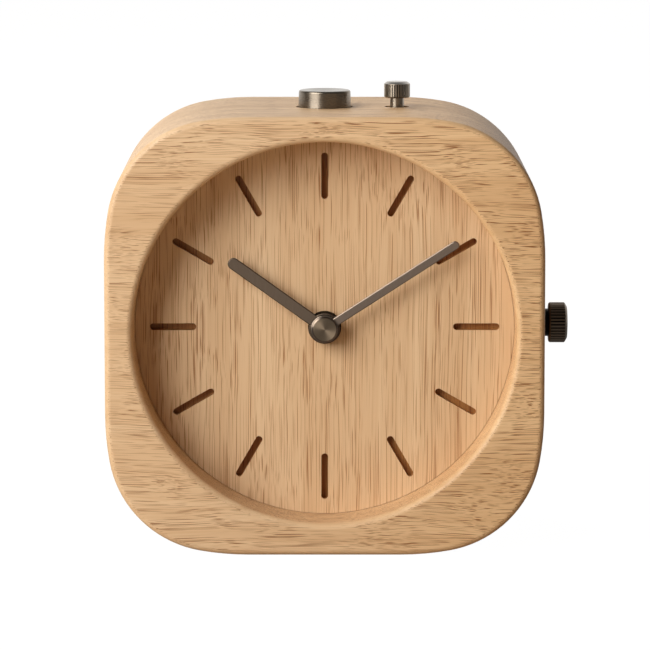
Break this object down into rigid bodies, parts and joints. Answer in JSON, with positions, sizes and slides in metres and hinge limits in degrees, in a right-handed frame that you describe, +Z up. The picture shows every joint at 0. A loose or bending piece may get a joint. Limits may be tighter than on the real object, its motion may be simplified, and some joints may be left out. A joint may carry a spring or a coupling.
{
  "type": "desk clock",
  "caption": "Free-standing desk clock in a rounded square oak block, recessed oak dial with milled hour marks, two hands, push button, pull knob and side knob.",
  "frame": {"origin": "under the middle of the block, on the flat face that it stands on", "axes": "+X to the right of someone facing the dial, +Y from the dial to the back, +Z up"},
  "size_m": [0.1064, 0.06, 0.1059],
  "materials": {
    "oak_block": "fine-sanded oak, oiled",
    "oak_dial": "fine-sanded oak, vertical grain",
    "hand_bronze": "dark bronze-grey, satin",
    "cap_bronze": "turned, dark plated",
    "knob_dark": "knurled, dark plated",
    "button_steel": "turned and brushed",
    "alarm_knob_steel": "knurled, brushed",
    "plain_steel": "bright drawn steel",
    "brass": "turned brass",
    "gear_plastic": "moulded, natural",
    "movement_plastic": "moulded, fine texture",
    "cover_plastic": "moulded, fine texture",
    "copper": "enamelled winding",
    "board_green": "solder mask",
    "chip_black": "moulded",
    "battery_sleeve": "plain shrink sleeve",
    "contact_nickel": "nickel plated strip"
  },
  "bodies": {
    "case": {"case_body": "oak_block", "dial": "oak_dial", "movement_tray": "movement_plastic", "movement_lid": "movement_plastic", "tray_screws": "plain_steel", "lid_screws": "plain_steel", "centre_bush": "brass", "stepper_motor": "plain_steel", "motor_coil": "copper", "circuit_board": "board_green", "control_chip": "chip_black", "quartz_crystal": "contact_nickel", "side_bush": "brass", "button_bush": "brass", "button_spring": "plain_steel", "button_contact": "contact_nickel", "alarm_bush": "knob_dark", "alarm_contact": "contact_nickel", "back_cover": "cover_plastic", "back_screws": "plain_steel", "battery": "battery_sleeve", "contact_plus": "contact_nickel", "contact_minus": "contact_nickel", "buzzer": "brass", "buzzer_pins": "contact_nickel"},
    "minute_train": {"centre_arbor": "plain_steel", "centre_wheel": "gear_plastic", "minute_hand": "hand_bronze", "hand_cap": "cap_bronze"},
    "hour_train": {"hour_wheel": "gear_plastic", "hour_hand": "hand_bronze"},
    "motion_work": {"motion_wheel": "gear_plastic"},
    "third_arbor": {"third_wheel": "gear_plastic"},
    "second_arbor": {"second_wheel": "gear_plastic"},
    "motor_shaft": {"motor_pinion": "brass"},
    "side_control": {"side_knob": "knob_dark", "side_stem": "plain_steel", "stem_clip": "plain_steel", "stem_pinion": "brass"},
    "push_button": {"button_cap": "button_steel", "button_stem": "plain_steel", "button_clip": "plain_steel"},
    "alarm_lift": {"alarm_slider": "gear_plastic"},
    "alarm_control": {"alarm_knob": "alarm_knob_steel", "alarm_stem": "alarm_knob_steel"},
    "door": {"battery_door": "cover_plastic"}
  },
  "joints": [
    {"name": "minute_turn", "type": "hinge", "parent": "case", "child": "minute_train", "pos_m": [0, 0, 0.0508], "axis": [0, 1, 0], "continuous": true},
    {"name": "hour_turn", "type": "hinge", "parent": "case", "child": "hour_train", "pos_m": [0, 0, 0.0508], "axis": [0, 1, 0], "continuous": true},
    {"name": "motion_turn", "type": "hinge", "parent": "case", "child": "motion_work", "pos_m": [0.00892, 0, 0.0496], "axis": [0, 1, 0], "continuous": true},
    {"name": "third_turn", "type": "hinge", "parent": "case", "child": "third_arbor", "pos_m": [-0.00883, 0, 0.0559], "axis": [0, 1, 0], "continuous": true},
    {"name": "second_turn", "type": "hinge", "parent": "case", "child": "second_arbor", "pos_m": [-0.01333, 0, 0.06369], "axis": [0, 1, 0], "continuous": true},
    {"name": "motor_turn", "type": "hinge", "parent": "case", "child": "motor_shaft", "pos_m": [-0.00993, 0, 0.06958], "axis": [0, 1, 0], "continuous": true},
    {"name": "side_knob_turn", "type": "hinge", "parent": "case", "child": "side_control", "pos_m": [0.05, 0, 0.0496], "axis": [1, 0, 0], "continuous": true},
    {"name": "button_press", "type": "slide", "parent": "case", "child": "push_button", "axis": [0, 0, -1], "range_m": [0, 0.002], "stiffness_N_per_m": 300, "springref_m": -0.001, "deforming": ["button_spring"]},
    {"name": "alarm_pull", "type": "slide", "parent": "case", "child": "alarm_lift", "axis": [0, 0, 1], "range_m": [-0.002, 0]},
    {"name": "alarm_knob_turn", "type": "hinge", "parent": "alarm_lift", "child": "alarm_control", "pos_m": [0.01675, 0, 0.1], "axis": [0, 0, 1], "continuous": true},
    {"name": "door_pull", "type": "slide", "parent": "case", "child": "door", "axis": [0, 1, 0], "range_m": [0, 0.02]}
  ],
  "couplings": [
    {"joint": "hour_turn", "follows": "minute_turn", "ratio": 0.083333},
    {"joint": "motion_turn", "follows": "minute_turn", "ratio": -0.33333},
    {"joint": "third_turn", "follows": "minute_turn", "ratio": -7.5},
    {"joint": "second_turn", "follows": "minute_turn", "ratio": 60},
    {"joint": "motor_turn", "follows": "minute_turn", "ratio": -450},
    {"joint": "side_knob_turn", "follows": "minute_turn", "ratio": -1.1667}
  ]
}
